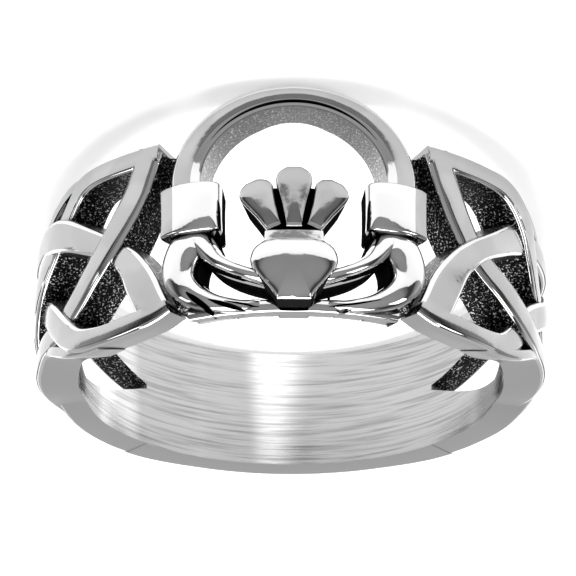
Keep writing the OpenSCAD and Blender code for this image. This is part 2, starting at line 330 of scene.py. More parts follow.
class Stock:
    """Builds the closed solids that the casting is fused from."""

    def __init__(self, band: Band, finishes: Sequence[bpy.types.Material]) -> None:
        """Start with an empty bench.

        Args:
            band: Sizes of the ring.
            finishes: Materials in the order of Finish.
        """
        self.band = band
        self.finishes = finishes
        self.solids: list[bpy.types.Object] = []
        self.cutters: list[bpy.types.Object] = []

    def keep(self, name: str, bm: bmesh.types.BMesh, cuts: bool = False) -> None:
        """Put a finished solid on the bench, or among the tools that cut the casting.

        Args:
            name: Name of the solid.
            bm: Mesh of the solid, which is freed.
            cuts: Whether the solid cuts the casting.
        """
        mesh = bpy.data.meshes.new(name)
        bm.to_mesh(mesh)
        bm.free()
        for mat in self.finishes:
            mesh.materials.append(mat)
        obj = bpy.data.objects.new(name, mesh)
        bpy.context.scene.collection.objects.link(obj)
        (self.cutters if cuts else self.solids).append(obj)

    def loft(self, name: str, rings: Sequence[Ring], mirrored: bool = False,
             along: Sequence[Finish] = (), around: Sequence[Finish] = (), cuts: bool = False) -> None:
        """Extrude a face through rings of points into one closed solid.

        Args:
            name: Name of the solid.
            rings: Sections with as many points each, from one end to the other.
            mirrored: Whether the solid is mirrored to the other shoulder.
            along: Finish of each stretch from one ring to the next, if that is what tells them apart.
            around: Finish of each strip from one point of the section to the next, otherwise.
            cuts: Whether the solid cuts the casting.
        """
        bm = bmesh.new()
        face = bm.faces.new([bm.verts.new(p) for p in rings[0]])
        spots = {vert: (0, k) for k, vert in enumerate(face.verts)}
        for step, ring in enumerate(rings[1:]):
            grown = bmesh.ops.extrude_face_region(bm, geom=[face, *face.edges, *face.verts])
            face = next(g for g in grown["geom"] if isinstance(g, bmesh.types.BMFace))
            for k, (vert, point) in enumerate(zip(face.verts, ring)):
                vert.co = point
                spots[vert] = (step + 1, k)
        for face in bm.faces:
            steps = sorted({spots[v][0] for v in face.verts})
            strip = sorted({spots[v][1] for v in face.verts})
            finish = around[len(around) // 2] if around else Finish.BLACKENED
            if along:
                finish = along[min(steps[0], len(along) - 1)]
            elif around and len(steps) == 2:
                finish = around[strip[0] if strip[1] == strip[0] + 1 else strip[1]]
            face.material_index = finish.value
        if mirrored:
            bmesh.ops.scale(bm, vec=(-1, 1, 1), verts=bm.verts)
        bmesh.ops.recalc_face_normals(bm, faces=bm.faces)
        self.keep(name, bm, cuts)

    def bar(self, name: str, path: Sequence[Row], section: Sequence[Corner], mirrored: bool = False,
            cuts: bool = False) -> None:
        """Sweep a section along a path round the band.

        Args:
            name: Name of the solid.
            path: Rows of [arc, height, width, top radius] and, where the feet of the left and
                right side are set back, two more numbers.
            section: Corners of the section.
            mirrored: Whether the solid is mirrored to the other shoulder.
            cuts: Whether the solid cuts the casting.
        """
        band, last = self.band, len(path) - 1
        rings: list[Ring] = []
        for i, row in enumerate(path):
            ahead, behind = path[min(i + 1, last)], path[max(i - 1, 0)]
            along = Vector((ahead[0] - behind[0], ahead[1] - behind[1])).normalized()
            ring: Ring = []
            for c in section:
                inset, radius = c.inset, band.foot_r
                set_back = row[5 if c.share > 0 else 4] if len(row) > 4 else 0.0
                if c.drop is None:
                    inset += set_back
                else:
                    radius = row[3] - c.drop
                    if c.drop > 0.3:
                        inset += set_back * (c.drop - 0.1) / (row[3] - band.foot_r)
                x = c.share * row[2] / 2 - math.copysign(inset, c.share)
                ring.append(band.place(band.span(row[0] + along.y * x), row[1] - along.x * x, radius))
            rings.append(ring)
        self.loft(name, rings, mirrored, around=[c.finish for c in section], cuts=cuts)

    def engrave(self, name: str, path: Sequence[Row], depth: float) -> None:
        """Put the cutter of a blackened groove among the tools.

        Args:
            name: Name of the groove.
            path: Rows of [arc, height, width, radius of the surface].
            depth: Depth of the groove.
        """
        half = ((1, -0.5), (1, depth * 0.3), (0.4, depth))
        shape = [(-share, drop) for share, drop in reversed(half)] + list(half)
        section = [Corner(share, 0, drop, Finish.INKED) for share, drop in shape]
        self.bar(name, smooth_rows(path, 5), section, cuts=True)

    def dome(self, name: str, outline: Sequence[tuple[float, float]], mid: tuple[float, float],
             lifts: Sequence[tuple[float, float]], dark: int = 1, plain: int = 0) -> None:
        """Raise a plate cut to an outline into a low dome.

        Args:
            name: Name of the solid.
            outline: Points of [arc, height] round the plate.
            mid: Point of [arc, height] that the dome narrows to.
            lifts: Pairs of the share of the outline and the radius that it is raised to.
            dark: Number of strips, from the foot, that are blackened.
            plain: Number of strips, from the top, that are painted darker as shade; the strips between are
                painted lighter as a highlight.
        """
        band = self.band
        rings = []
        for share, radius in lifts:
            spread = [(mix(mid[0], arc, share), mix(mid[1], height, share)) for arc, height in outline]
            rings.append([band.place(band.span(arc), height, radius) for arc, height in spread])
        # Between the blackened foot and the painted shade at the top, the strips are painted lighter as a
        # highlight.
        bright = len(lifts) - 1 - dark - plain
        skins = [Finish.INKED] * dark + [Finish.PAINTED_HIGHLIGHT] * bright + [Finish.PAINTED_SHADE] * plain
        self.loft(name, rings, along=skins)


@dataclass
class Shank:
    """The plain back of the band.

    Attributes:
        bevel: Radius of the edges at the back.
        strand_bevel: Radius of the edges where the strands begin.
        overlap: Angle by which the shank reaches past the strands' ends.
        step: Angle from one section to the next.
        top_shares: Places of the top's points, as shares of the half width.
    """

    band: Band
    bevel: float = 0.3
    strand_bevel: float = 0.16
    overlap: float = 8.0
    step: float = 1.5
    top_shares: Sequence[float] = (0.87, 0.75, 0.6, 0.45, 0.3, 0.15)

    def ring_at(self, angle: float) -> Ring:
        """Return the shank's section.

        Args:
            angle: Angle from the head's middle, in degrees.

        Returns:
            The points of the section there.
        """
        band = self.band
        side = min(angle, 360 - angle)
        grown = ease(band.knot_end - self.overlap, band.knot_end + 14, side)
        h, bevel = band.half(side), mix(self.strand_bevel, self.bevel, grown)
        crown = mix(0.02, band.shank_t * 0.1, grown)
        edge_r = band.shank_r - crown
        half = [(h, band.foot_r), (h, edge_r - bevel)]
        for t in quarter_turn(4)[1:4]:
            half.append((h - bevel * (1 - math.cos(t)), edge_r - bevel * (1 - math.sin(t))))
        half += [(h * share, band.shank_r - crown * (share / 0.88) ** 1.6) for share in self.top_shares]
        section = half + [(-v, r) for v, r in reversed(half)]
        return [band.place(angle, v, r) for v, r in section]

    def build(self, stock: Stock) -> None:
        """Add the shank to the stock."""
        start = self.band.knot_end - self.overlap
        count = 2 * math.ceil((180 - start) / self.step)
        rings = [self.ring_at(start + i * (360 - 2 * start) / count) for i in range(count + 1)]
        # The shank's top takes the polish painted darker as shade.
        tops = [Finish.PAINTED_SHADE] * (len(rings[0]) - 3)
        stock.loft("shank", rings, around=[Finish.RIM, *tops, Finish.RIM, Finish.PAINTED_SHADE])


@dataclass
class Knotwork:
    """One shoulder of four interlaced strands.

    Rows of a strand: [percent of the knotwork's length, height as percent of the way to the band's
    edge, width as percent of strand_w, 1 over or -1 under the strand that it crosses].

    Attributes:
        strand_w: Width of a strand.
        weave: Height by which a strand rises over, or dips under, another.
        bevel: Radius of a strand's edges.
        crown: Height of a strand's crowned top.
        rim_lean: Distance that the rims lean in towards the finger hole, on the crown's side and
            on the heart's side.
        end_sink: Distance by which the strands end inside the shank.
        top_sink: Distance by which the strands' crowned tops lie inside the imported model's.
        strands: Rows of the four strands.
        edges: Rows of the strips that close the rims between one strand and the next.
    """

    band: Band
    side: Side
    strand_w: float = 1.1
    weave: float = 0.13
    bevel: float = 0.15
    crown: float = 0.07
    rim_lean: tuple[float, float] = (0.28, 0.5)
    end_sink: float = 0.012
    top_sink: float = 0.03
    strands: dict[str, Sequence[Row]] = field(default_factory=lambda: {
        "upper_cross": [
            (6.6, 112, 112, 0), (8.2, 86, 115, 0), (9.8, 63, 118, 0), (12.5, 34, 118, 0.6), (16, 6, 116, 1),
            (20, -16, 115, 0.6), (25, -35, 118, -0.5), (30, -55, 120, -1), (36, -80, 118, -1),
            (43, -98, 100, 0), (50, -100, 90, 0), (60, -99, 90, 0.6), (67, -92, 95, 1), (75, -84, 98, 0.6),
            (83, -68, 105, 0), (92, -60, 150, 0), (100, -50, 180, 0),
        ],
        "lower_cross": [
            (5.8, -110, 140, 0), (6.9, -95, 140, 0), (9.2, -62, 140, 0), (12, -30, 114, -0.6),
            (16, -5, 97, -1), (20, 11, 95, -0.6), (26, 33, 110, 0.5), (31, 55, 125, 1), (36, 78, 125, 1),
            (42, 97, 105, 0.6), (50, 100, 90, 0), (60, 99, 90, -0.6), (67, 92, 95, -1), (75, 84, 98, -0.6),
            (83, 68, 105, 0), (92, 60, 150, 0), (100, 50, 180, 0),
        ],
        "upper_rim": [
            (4.6, 100, 82, 0), (12, 100, 80, 0), (20, 100, 78, 0), (25, 99, 85, -0.5), (30, 93, 100, -1),
            (34, 81, 110, -1), (38, 62, 110, 0), (44, 30, 105, 1), (50, -1, 100, 1), (56, -41, 95, 0.6),
            (61, -71, 90, -0.6), (67, -91, 90, -1), (75, -100, 85, -0.6), (87, -100, 80, 0),
            (100, -100, 70, 0),
        ],
        "lower_rim": [
            (2.7, -93, 60, 0), (5.5, -100, 72, 0), (8.5, -104, 80, 0), (14, -106, 80, 0),
            (20, -105, 80, 0.3), (26, -101, 95, 1), (31, -89, 110, 1), (37, -62, 112, 0.6),
            (44, -30, 105, -1), (50, 1, 100, -1), (56, 41, 95, -0.6), (61, 71, 90, 0.6),
            (67, 91, 90, 1), (75, 100, 85, 0.6), (87, 100, 80, 0), (100, 100, 70, 0),
        ],
    })
    edges: dict[str, Sequence[Row]] = field(default_factory=lambda: {
        "lower_edge": [(21, -105, 44, 1.3), (26, -104, 44, 0.6), (31, -103, 44, 0.2), (36, -102, 44, 0.2),
                       (41, -100, 42, 0.7), (46, -97, 38, 1.4)],
        "upper_edge": [(23, 96, 40, 1.4), (28, 99, 44, 0.7), (33, 99, 44, 0.2), (38, 99, 44, 0.2),
                       (42, 98, 42, 0.7), (47, 95, 38, 1.4)],
    })

    def path(self, rows: Sequence[Row], turn: float) -> list[Row]:
        """Return the path of a strand.

        Args:
            rows: Rows of the strand.
            turn: Height of its rises, or below 0 where they are dips.

        Returns:
            The rows that a bar takes, in millimetres.
        """
        band = self.band
        start, end = band.arch_half * 0.89, math.radians(band.knot_end) * band.band_r
        out: list[Row] = []
        for percent, height, width, over in smooth_rows(rows, 9):
            arc, w = mix(start, end, percent / 100), self.strand_w * width / 100
            angle = band.span(arc)
            sink = self.end_sink * ease(band.knot_end - 14, band.knot_end - 7, angle)
            low = self.top_sink * (1 - ease(100, 118, angle))
            lean = 1 - ease(band.shoulder_to + 4, band.side_from, angle)
            out.append((
                arc,
                (band.half(angle) - sink - w / 2) * height / 100,
                w,
                band.knot_top(angle) - sink - low + turn * over,
                self.rim_lean[0] * lean * ease(75, 98, height),
                self.rim_lean[1] * lean * ease(75, 98, -height),
            ))
        return out

    def build(self, stock: Stock) -> None:
        """Add the strands of this shoulder to the stock."""
        # Strands: the top is polish painted darker as shade, the rounded edges are painted lighter as a
        # highlight.
        section = rounded(self.bevel, self.crown)
        tag, mirrored = self.side.name.lower(), self.side is Side.LEFT
        turn = -self.side.value * self.weave
        for name, rows in self.strands.items():
            stock.bar(f"{name}_{tag}", self.path(rows, turn), section, mirrored)
        for name, rows in self.edges.items():
            stock.bar(f"{name}_{tag}", self.path(rows, -self.weave), section, mirrored)


@dataclass
class Arch:
    """The arch over the crown, half an ellipse that springs from the cuffs.

    Attributes:
        top_w: Width of the arch's metal at its top.
        leg_w: Width of the arch's metal at the cuffs.
        spring_v: Height at which the arch springs.
        cuff_l: Length of a cuff.
        leg_foot: Distance that the inner wall leans in, at the cuffs.
        top_foot: Distance that it leans in at the top.
        steps: Number of sections round the arch.
        roll: Width and depth of the rolled outer side.
        top_drop: Drop of the section's highest line.
        line_half: Angle from the top to either end of the engraved line, in degrees.
        line_steps: Number of steps from the top to either end of it.
    """

    band: Band
    top_w: float = 1.2
    leg_w: float = 1.6
    spring_v: float = 1.9
    cuff_l: float = 2.2
    leg_foot: float = 0.36
    top_foot: float = -0.06
    steps: int = 90
    roll: tuple[float, float] = (0.58, 0.81)
    top_drop: float = 0.04
    line_half: float = 54.0
    line_steps: int = 6

    def section(self) -> list[Corner]:
        """Return the section: its left side rolls over, and its right side is a crisp inner wall."""
        corners = [Corner(-1, 0.3, None), Corner(-1, 0.05, 1.2), Corner(-1, 0.01, 0.85)]
        for i, t in enumerate(quarter_turn(10)[1:10]):
            inset = 0.01 + self.roll[0] * (1 - math.cos(t))
            drop = self.top_drop + self.roll[1] * (1 - math.sin(t) ** 1.1)
            # Painted highlight on the middle of the rolled side, painted shade on the rest of it.
            skin = Finish.PAINTED_HIGHLIGHT if 3 <= i <= 6 else Finish.PAINTED_SHADE
            corners.append(Corner(-1, inset, drop, skin))
        for share in (0.05, 0.18, 0.31, 0.44, 0.57):
            # Painted highlight on the inner part of the top, painted shade on its outer part.
            skin = Finish.PAINTED_HIGHLIGHT if share > 0.4 else Finish.PAINTED_SHADE
            corners.append(Corner(share, 0, self.top_drop + 0.14 * (share + 0.2) ** 2, skin))
        # The inner edge is painted lighter as a highlight.
        corners += [Corner(1, 0.16, 0.16, Finish.PAINTED_HIGHLIGHT), Corner(1, 0.08, 0.18)]
        wall = ((0.02, 0.22), (0, 0.9), (0, None))
        return corners + [Corner(1, inset, drop, Finish.WORN) for inset, drop in wall]

    def width(self, turn: float) -> float:
        """Return the width of the arch's metal at an angle in radians from its top."""
        return mix(self.top_w, self.leg_w, math.sin(turn) ** 2)

    def spot(self, turn: float, inset: float) -> tuple[float, float]:
        """Return a point of the arch.

        Args:
            turn: Angle from the arch's top, in radians.
            inset: Distance in from the arch's outer edge.

        Returns:
            The arc and the height of the point.
        """
        half, rise = self.band.arch_half, self.band.arch_rise - self.spring_v
        return (half - inset) * math.sin(turn), self.spring_v + (rise - inset) * math.cos(turn)

    def build(self, stock: Stock) -> None:
        """Add the arch and its engraved line to the stock."""
        r = self.band.bore_r + self.band.arch_t
        leg_arc = self.band.arch_half - self.leg_w / 2
        leg = (self.spring_v - self.cuff_l * 0.7, self.leg_w, r, 0, self.leg_foot)
        path: list[Row] = [(-leg_arc, *leg)]
        for i in range(self.steps + 1):
            turn = math.radians(-90 + 180 * i / self.steps)
            w, foot = self.width(turn), mix(self.top_foot, self.leg_foot, math.sin(turn) ** 2)
            path.append((*self.spot(turn, w / 2), w, r, 0, foot))
        path.append((leg_arc, *leg))
        stock.bar("arch", path, self.section())
        line: list[Row] = []
        for i in range(-self.line_steps, self.line_steps + 1):
            share = i / self.line_steps
            turn = math.radians(self.line_half * share)
            w = 0.02 + 0.13 * math.cos(math.pi / 2 * share)
            line.append((*self.spot(turn, self.width(turn) - 0.24), w, r))
        stock.engrave("arch_line", line, 0.28)


@dataclass
class Hand:
    """A cuff, the palm that sweeps round below the heart, and the fingers that reach its side.

    Rows of palm and fingers: [share of the arm's place round the band, share of the head's drop,
    width as share of the cuff's width, lift, set-back of the foot below].

    Attributes:
        cuff_l: Length of a cuff along the arm.
        cuff_w: Width of a cuff across the arm.
        cuff_t: Wall of a cuff.
        cuff_v: Height of a cuff's middle.
        cuff_soft: Radius of a cuff's ends.
        hand_t: Wall of a hand.
        hand_roll: Depth over which the limbs roll over to their sides.
        leg_w: Width of the arch's metal at the cuffs.
        palm: Rows of the palm.
        fingers: Rows of the fingers.
    """

    band: Band
    side: Side
    cuff_l: float = 2.2
    cuff_w: float = 2.65
    cuff_t: float = 2.1
    cuff_v: float = 0.6
    cuff_soft: float = 0.14
    hand_t: float = 1.9
    hand_roll: float = 0.7
    leg_w: float = 1.6
    palm: Sequence[Row] = (
        (1.00, 0.00, 0.50, -0.15, 0), (1.02, -0.12, 0.52, -0.12, 0), (1.07, -0.24, 0.60, 0, 0),
        (1.13, -0.42, 0.60, 0.05, 0), (1.12, -0.60, 0.56, 0.05, 0.05), (1.01, -0.76, 0.48, 0.0, 0.35),
        (0.80, -0.88, 0.34, -0.2, 0.45), (0.55, -0.925, 0.24, -0.45, 0.42),
        (0.38, -0.9, 0.19, -0.7, 0.45), (0.20, -0.87, 0.15, -1.05, 0.5),
    )
    fingers: Sequence[Row] = (
        (1.00, 0.00, 0.42, -0.2, 0), (0.93, -0.16, 0.42, -0.15, 0), (0.84, -0.31, 0.34, -0.1, 0),
        (0.74, -0.44, 0.28, -0.05, 0), (0.59, -0.55, 0.25, 0.0, 0), (0.42, -0.63, 0.23, 0.0, 0),
        (0.25, -0.68, 0.23, -0.1, 0),
    )

    @property
    def arm(self) -> float:
        """Return the arc from the head's middle to the middle of the arm."""
        return self.band.arch_half - self.leg_w * 0.68

    def limb(self, rows: Sequence[Row]) -> list[Row]:
        """Return the path of a limb.

        Args:
            rows: Rows of the palm or the fingers.

        Returns:
            The rows that a bar takes, in millimetres.
        """
        band, top_r = self.band, self.band.bore_r + self.hand_t
        path: list[Row] = []
        for arc, v, w, lift, back in smooth_rows(rows, 8):
            feet = (back, -back if arc < 0.7 else 0)
            path.append((arc * self.arm, v * band.head_drop, w * self.cuff_w, top_r + lift, *feet))
        return path

    def cuff_section(self) -> list[Corner]:
        """Return the section of the cuff: two soft faces that meet in a low ridge."""
        outer = ((-1, 0.42, None), (-1, 0.0, 0.5), (-1, 0.02, 0.36), (-1, 0.08, 0.26), (-1, 0.16, 0.22),
                 (-0.7, 0, 0.12))
        ridge = ((-0.45, 0, 0.04), (-0.2, 0, 0.0), (0.1, 0, 0.0), (0.35, 0, 0.03), (1, 0.42, 0.1),
                 (1, 0.26, 0.17), (1, 0.12, 0.28), (1, 0.03, 0.42), (1, 0, 0.58))
        inner = ((1, 0, 0.75), (1, 0.42, None))
        # Painted shade on the outer face, a painted highlight on the ridge; the inner wall is blackened.
        dressed = ((outer, Finish.PAINTED_SHADE), (ridge, Finish.PAINTED_HIGHLIGHT), (inner, Finish.INKED))
        return [Corner(*corner, finish) for corners, finish in dressed for corner in corners]

    def cuff_path(self) -> list[Row]:
        """Return the path of the cuff, whose ends are rounded."""
        r, half_l = self.band.bore_r + self.cuff_t, self.cuff_l / 2
        upper: list[Row] = []
        for t in quarter_turn(4):
            end, dip = half_l - self.cuff_soft * (1 - math.cos(t)), self.cuff_soft * (1 - math.sin(t))
            upper.append((self.arm, self.cuff_v + end, self.cuff_w - 2 * dip, r - dip))
        waist = [(self.arm, self.cuff_v + half_l * s, self.cuff_w - 0.05, r) for s in (0.4, 0, -0.4)]
        lower = [(arc, 2 * self.cuff_v - v, w, top) for arc, v, w, top in reversed(upper)]
        return upper + waist + lower

    def build(self, stock: Stock) -> None:
        """Add the cuff, the palm, the fingers and their links to the stock."""
        band, tag, mirrored = self.band, self.side.name.lower(), self.side is Side.LEFT
        stock.bar(f"cuff_{tag}", self.cuff_path(), self.cuff_section(), mirrored)
        # The palm is painted darker as shade on its left wall and the share of its top from the left, lighter
        # as a highlight on the rest; the fingers' top is all painted highlight.
        full = half_round(self.hand_roll)
        stock.bar(f"palm_{tag}", self.limb(self.palm), full, mirrored)
        slim = half_round(self.hand_roll, shaded=0, wall=Finish.INKED)
        stock.bar(f"fingers_{tag}", self.limb(self.fingers), slim, mirrored)
        floor_r = band.bore_r + band.knot_t * 0.45
        section = rounded(0.12, 0.02, skin=Finish.BLACKENED, edge=Finish.BLACKENED)
        half, drop = band.arch_half, band.head_drop
        stock.bar(f"upper_link_{tag}", [
            (half + 0.2, self.cuff_v, 1.2, floor_r),
            (half + 0.15, self.cuff_v + self.cuff_l * 0.5, 1.1, floor_r),
            (half * 0.97, band.shoulder_w * 0.43, 1.1, floor_r + 0.2),
        ], section, mirrored)
        stock.bar(f"lower_link_{tag}", [
            (half * 0.99, -drop * 0.42, 0.8, floor_r),
            (half * 0.94, -drop * 0.62, 0.9, floor_r + 0.5),
            (half * 0.88, -drop * 0.82, 0.9, floor_r + 0.4),
        ], section, mirrored)


@dataclass
class Heart:
    """The heart between the hands, the rim below it and the crown on top of it.

    Rows of a groove: [arc, height, width, rise over the rim's top].

    Attributes:
        width: Width of the heart.
        height: Height of the heart.
        thick: Wall of the heart.
        crown_h: Height of the crown.
        crown_w: Width of the crown.
        crown_t: Wall of the crown.
        hand_t: Wall of the hands beside the heart.
        outline: Rows of the heart's half: [share of the height from the top, share of the width].
        point: Rows of a crown point's half: [share of the height from the foot, share of the width].
        grooves: Name, depth and rows of each groove between the palms and the rim.
    """

    band: Band
    width: float = 3.55
    height: float = 2.75
    thick: float = 2.3
    crown_h: float = 3.2
    crown_w: float = 4.4
    crown_t: float = 2.1
    hand_t: float = 1.9
    outline: Sequence[Row] = (
        (0, 0.45), (0.05, 0.72), (0.16, 0.92), (0.32, 1.0), (0.48, 0.94), (0.65, 0.76), (0.82, 0.55),
        (1, 0.38),
    )
    point: Sequence[Row] = ((0, 0.43), (0.35, 0.66), (0.65, 0.92), (0.8, 1.0), (0.92, 0.8), (1, 0.35))
    grooves: Sequence[tuple[str, float, Sequence[Row]]] = (
        ("left_heel", 0.9, ((-4.45, -3.1, 0.05, 0.25), (-4.2, -3.35, 0.22, 0.25),
                            (-3.85, -3.65, 0.24, 0.25), (-3.5, -3.95, 0.16, 0.25))),
        ("left_leaf", 0.75, ((-3.55, -3.5, 0.04, 0.25), (-3.1, -3.68, 0.2, 0.25),
                             (-2.6, -3.83, 0.18, 0.25), (-2.1, -3.95, 0.04, 0.25))),
        ("left_line", 0.3, ((-2.9, -3.6, 0.04, 0), (-2.2, -3.72, 0.1, 0), (-1.5, -3.8, 0.04, 0))),
        ("right_line", 0.5, ((1.5, -3.76, 0.04, 0), (2.5, -3.72, 0.1, 0.25), (3.6, -3.48, 0.04, 0.25))),
        ("right_mark", 0.35, ((1.8, -3.93, 0.04, 0), (2.1, -3.94, 0.12, 0), (2.45, -3.92, 0.04, 0))),
        ("tip_recess", 0.25, ((-0.62, -3.9, 0.16, 0), (0, -3.9, 0.2, 0), (0.62, -3.9, 0.16, 0))),
    )

    @property
    def top(self) -> float:
        """Return the height of the heart's upper edge."""
        return -self.band.head_drop * 0.96 + self.height

    @property
    def foot(self) -> float:
        """Return the height at which the crown's points stand."""
        return self.top + self.crown_h * 0.15

    @property
    def rim_r(self) -> float:
        """Return the radius of the rim's top."""
        return self.band.bore_r + self.hand_t * 0.6

    def build(self, stock: Stock) -> None:
        """Add the heart, its rim and the crown to the stock, and the grooves to its cutters."""
        for name, depth, rows in self.grooves:
            stock.engrave(name, [(arc, v, w, self.rim_r + rise) for arc, v, w, rise in rows], depth)
        self.heart(stock)
        self.rim(stock)
        self.crown(stock)

    def heart(self, stock: Stock) -> None:
        """Add the heart."""
        half = [(w * self.width / 2, self.top - v * self.height) for v, w in smooth_rows(self.outline, 5)]
        outline = [(-x, y) for x, y in half] + list(reversed(half))
        r, edge = self.band.bore_r + self.thick, self.thick * 0.22
        lifts = [(1.0, self.band.foot_r), (1.0, r - edge - 0.08), (1.0, r - edge)]
        lifts += domed(r, edge, 9, 0.75)
        # The heart's foot is blackened and the rest of its dome is painted lighter as a highlight.
        stock.dome("heart", outline, (0, self.top - self.height * 0.42), lifts, dark=3)

    def rim(self, stock: Stock) -> None:
        """Add the low rim below the heart, whose foot is set back most at its ends."""
        w, steps = self.band.head_drop * 0.13, 16
        path: list[Row] = []
        for i in range(-steps, steps + 1):
            arc, foot = i / steps * self.band.arch_half * 0.86, mix(0.36, 0.5, abs(i) / steps)
            path.append((arc, -self.band.head_drop + w / 2, w, self.rim_r, -0.4, foot))
        # The rim's top and rounded edges are painted lighter as a highlight.
        stock.bar("head_rim", path, rounded(0.14, 0.03, skin=Finish.PAINTED_HIGHLIGHT, side=Finish.RIM))

    def crown(self, stock: Stock) -> None:
        """Add the crown's three points, its foot and the web that joins the points."""
        mid_h = self.top + self.crown_h - self.foot
        outer_h, outer_w, outer_foot = mid_h * 0.84, self.crown_w * 0.325, self.crown_w * 0.18
        lean = math.asin((self.crown_w / 2 - outer_foot - outer_w * 0.46) / (outer_h * 0.8))
        self.crown_point(stock, "crown_middle", 0, mid_h, self.crown_w * 0.335, 0)
        self.crown_point(stock, "crown_right", lean, outer_h, outer_w, outer_foot)
        self.crown_point(stock, "crown_left", -lean, outer_h, outer_w, -outer_foot)
        foot_r, web_r = (self.band.bore_r + self.crown_t * share for share in (0.88, 0.55))
        # The crown's foot is painted lighter as a highlight.
        stock.bar("crown_foot", [
            (0, self.top - 0.5, self.crown_w * 0.57, foot_r),
            (0, self.foot - 0.11, self.crown_w * 0.54, foot_r),
        ], rounded(0.08, 0.03, skin=Finish.PAINTED_HIGHLIGHT))
        stock.bar("crown_web", [
            (0, self.top, self.crown_w * 0.38, web_r),
            (0, self.foot + mid_h * 0.76, self.crown_w * 0.66, web_r),
        ], rounded(0.08, 0.02, skin=Finish.INKED, edge=Finish.INKED))

    def crown_point(self, stock: Stock, name: str, lean: float, high: float, wide: float,
                    foot: float) -> None:
        """Add one point of the crown.

        Args:
            stock: The bench that takes the solid.
            name: Name of the solid.
            lean: Angle by which the point leans out, in radians.
            high: Height of the point.
            wide: Width of the point.
            foot: Arc at which the point stands.
        """
        half = [(w * wide / 2, v * high) for v, w in smooth_rows(self.point, 5)]
        flat = half + [(-x, y) for x, y in reversed(half)]
        c, s = math.cos(lean), math.sin(lean)
        outline = [(foot + x * c + y * s, self.foot + y * c - x * s) for x, y in flat]
        mid = (foot + high * 0.6 * s, self.foot + high * 0.6 * c)
        r = self.band.bore_r + self.crown_t
        lifts = [(1.0, self.band.foot_r), (1.0, r - 0.4), *domed(r, 0.3, 8, 0.6)]
        # Each point's top four strips are painted darker as shade, the strips below them lighter as a
        # highlight.
        stock.dome(name, outline, mid, lifts, plain=4)


def grey(value: float) -> tuple[float, float, float, float]:
    """Return a grey colour."""
    return (value, value, value, 1.0)


def node(tree: bpy.types.NodeTree, kind: str, at: tuple[float, float],
         inputs: Mapping[int | str, object] | None = None, **settings: object) -> bpy.types.Node:
    """Add a node to a tree.

    Args:
        tree: The node tree.
        kind: Type of the node.
        at: Place of the node in the editor.
        inputs: The value of each input, or the socket that feeds it, by its number or name.
        settings: Properties of the node, which are set before its inputs.

    Returns:
        The new node.
    """
    made = tree.nodes.new(kind)
    made.location = at
    for key, value in settings.items():
        setattr(made, key, value)
    for key, value in (inputs or {}).items():
        if isinstance(value, bpy.types.NodeSocket):
            tree.links.new(value, made.inputs[key])
        else:
            made.inputs[key].default_value = value
    return made


def blend(tree: bpy.types.NodeTree, at: tuple[float, float], share: bpy.types.NodeSocket,
          first: object, second: object) -> bpy.types.NodeSocket:
    """Blend two colours.

    Args:
        tree: The node tree.
        at: Place of the node in the editor.
        share: Share of the second colour.
        first: The first colour, or the socket that feeds it.
        second: The second colour, or the socket that feeds it.

    Returns:
        The blended colour.
    """
    return node(tree, "ShaderNodeMix", at, {0: share, 6: first, 7: second}, data_type="RGBA").outputs[2]


def ranged(tree: bpy.types.NodeTree, at: tuple[float, float], value: bpy.types.NodeSocket,
           source: tuple[float, float], target: tuple[float, float] = (0.0, 1.0),
           smooth: bool = False) -> bpy.types.NodeSocket:
    """Carry a value from one range to another.

    Args:
        tree: The node tree.
        at: Place of the node in the editor.
        value: The value.
        source: Both ends of its range.
        target: Both ends of the new range.
        smooth: Whether the value eases in and out at the ends.

    Returns:
        The value in its new range.
    """
    ends = {"From Min": source[0], "From Max": source[1], "To Min": target[0], "To Max": target[1]}
    shape = "SMOOTHSTEP" if smooth else "LINEAR"
    made = node(tree, "ShaderNodeMapRange", at, {"Value": value, **ends}, interpolation_type=shape)
    return made.outputs["Result"]


def node_group(name: str, takes: Mapping[str, str],
               gives: Mapping[str, str]) -> tuple[bpy.types.NodeTree, bpy.types.Node, bpy.types.Node]:
    """Start a node group.

    Args:
        name: Name of the group.
        takes: Kind of each input, by its name.
        gives: Kind of each output, by its name.

    Returns:
        The group, the node of its inputs and the node of its outputs.
    """
    tree = bpy.data.node_groups.new(name, "ShaderNodeTree")
    for way, sockets in (("INPUT", takes), ("OUTPUT", gives)):
        for label, kind in sockets.items():
            tree.interface.new_socket(label, in_out=way, socket_type=f"NodeSocket{kind}")
    return tree, node(tree, "NodeGroupInput", (-600, 0)), node(tree, "NodeGroupOutput", (600, 0))


def grain_group() -> bpy.types.NodeTree:
    """Return the node group of cast metal's grain: worm-like pits and the bright crests between them."""
    tree, inside, out = node_group(
        "Casting grain", {"Vector": "Vector", "Scale": "Float"}, {"Height": "Float", "Crests": "Float"}
    )
    spots = {name: inside.outputs[name] for name in ("Vector", "Scale")}
    cells = node(tree, "ShaderNodeTexVoronoi", (-300, 150), {**spots, "Smoothness": 0.6}, feature="SMOOTH_F1")
    noise = node(tree, "ShaderNodeTexNoise", (-300, -150), {**spots, "Detail": 3.0, "Roughness": 0.6})
    both = node(tree, "ShaderNodeMath", (0, 0), {
        0: cells.outputs["Distance"], 1: noise.outputs["Fac"],
    }, operation="MULTIPLY").outputs[0]
    tree.links.new(both, out.inputs["Height"])
    tree.links.new(ranged(tree, (250, -100), both, (0.315, 0.4)), out.inputs["Crests"])
    return tree


def patina_group() -> bpy.types.NodeTree:
    """Return the node group that blackens silver where it isn't open to the hand."""
    tree, inside, out = node_group(
        "Crease patina", {"Openness": "Float", "Silver": "Color", "Black": "Color"},
        {"Color": "Color", "Mask": "Float"},
    )
    mask = ranged(tree, (-200, 0), inside.outputs["Openness"], (0.42, 0.68), (1.0, 0.0), smooth=True)
    color = blend(tree, (150, 0), mask, inside.outputs["Silver"], inside.outputs["Black"])
    tree.links.new(color, out.inputs["Color"])
    tree.links.new(mask, out.inputs["Mask"])
    return tree


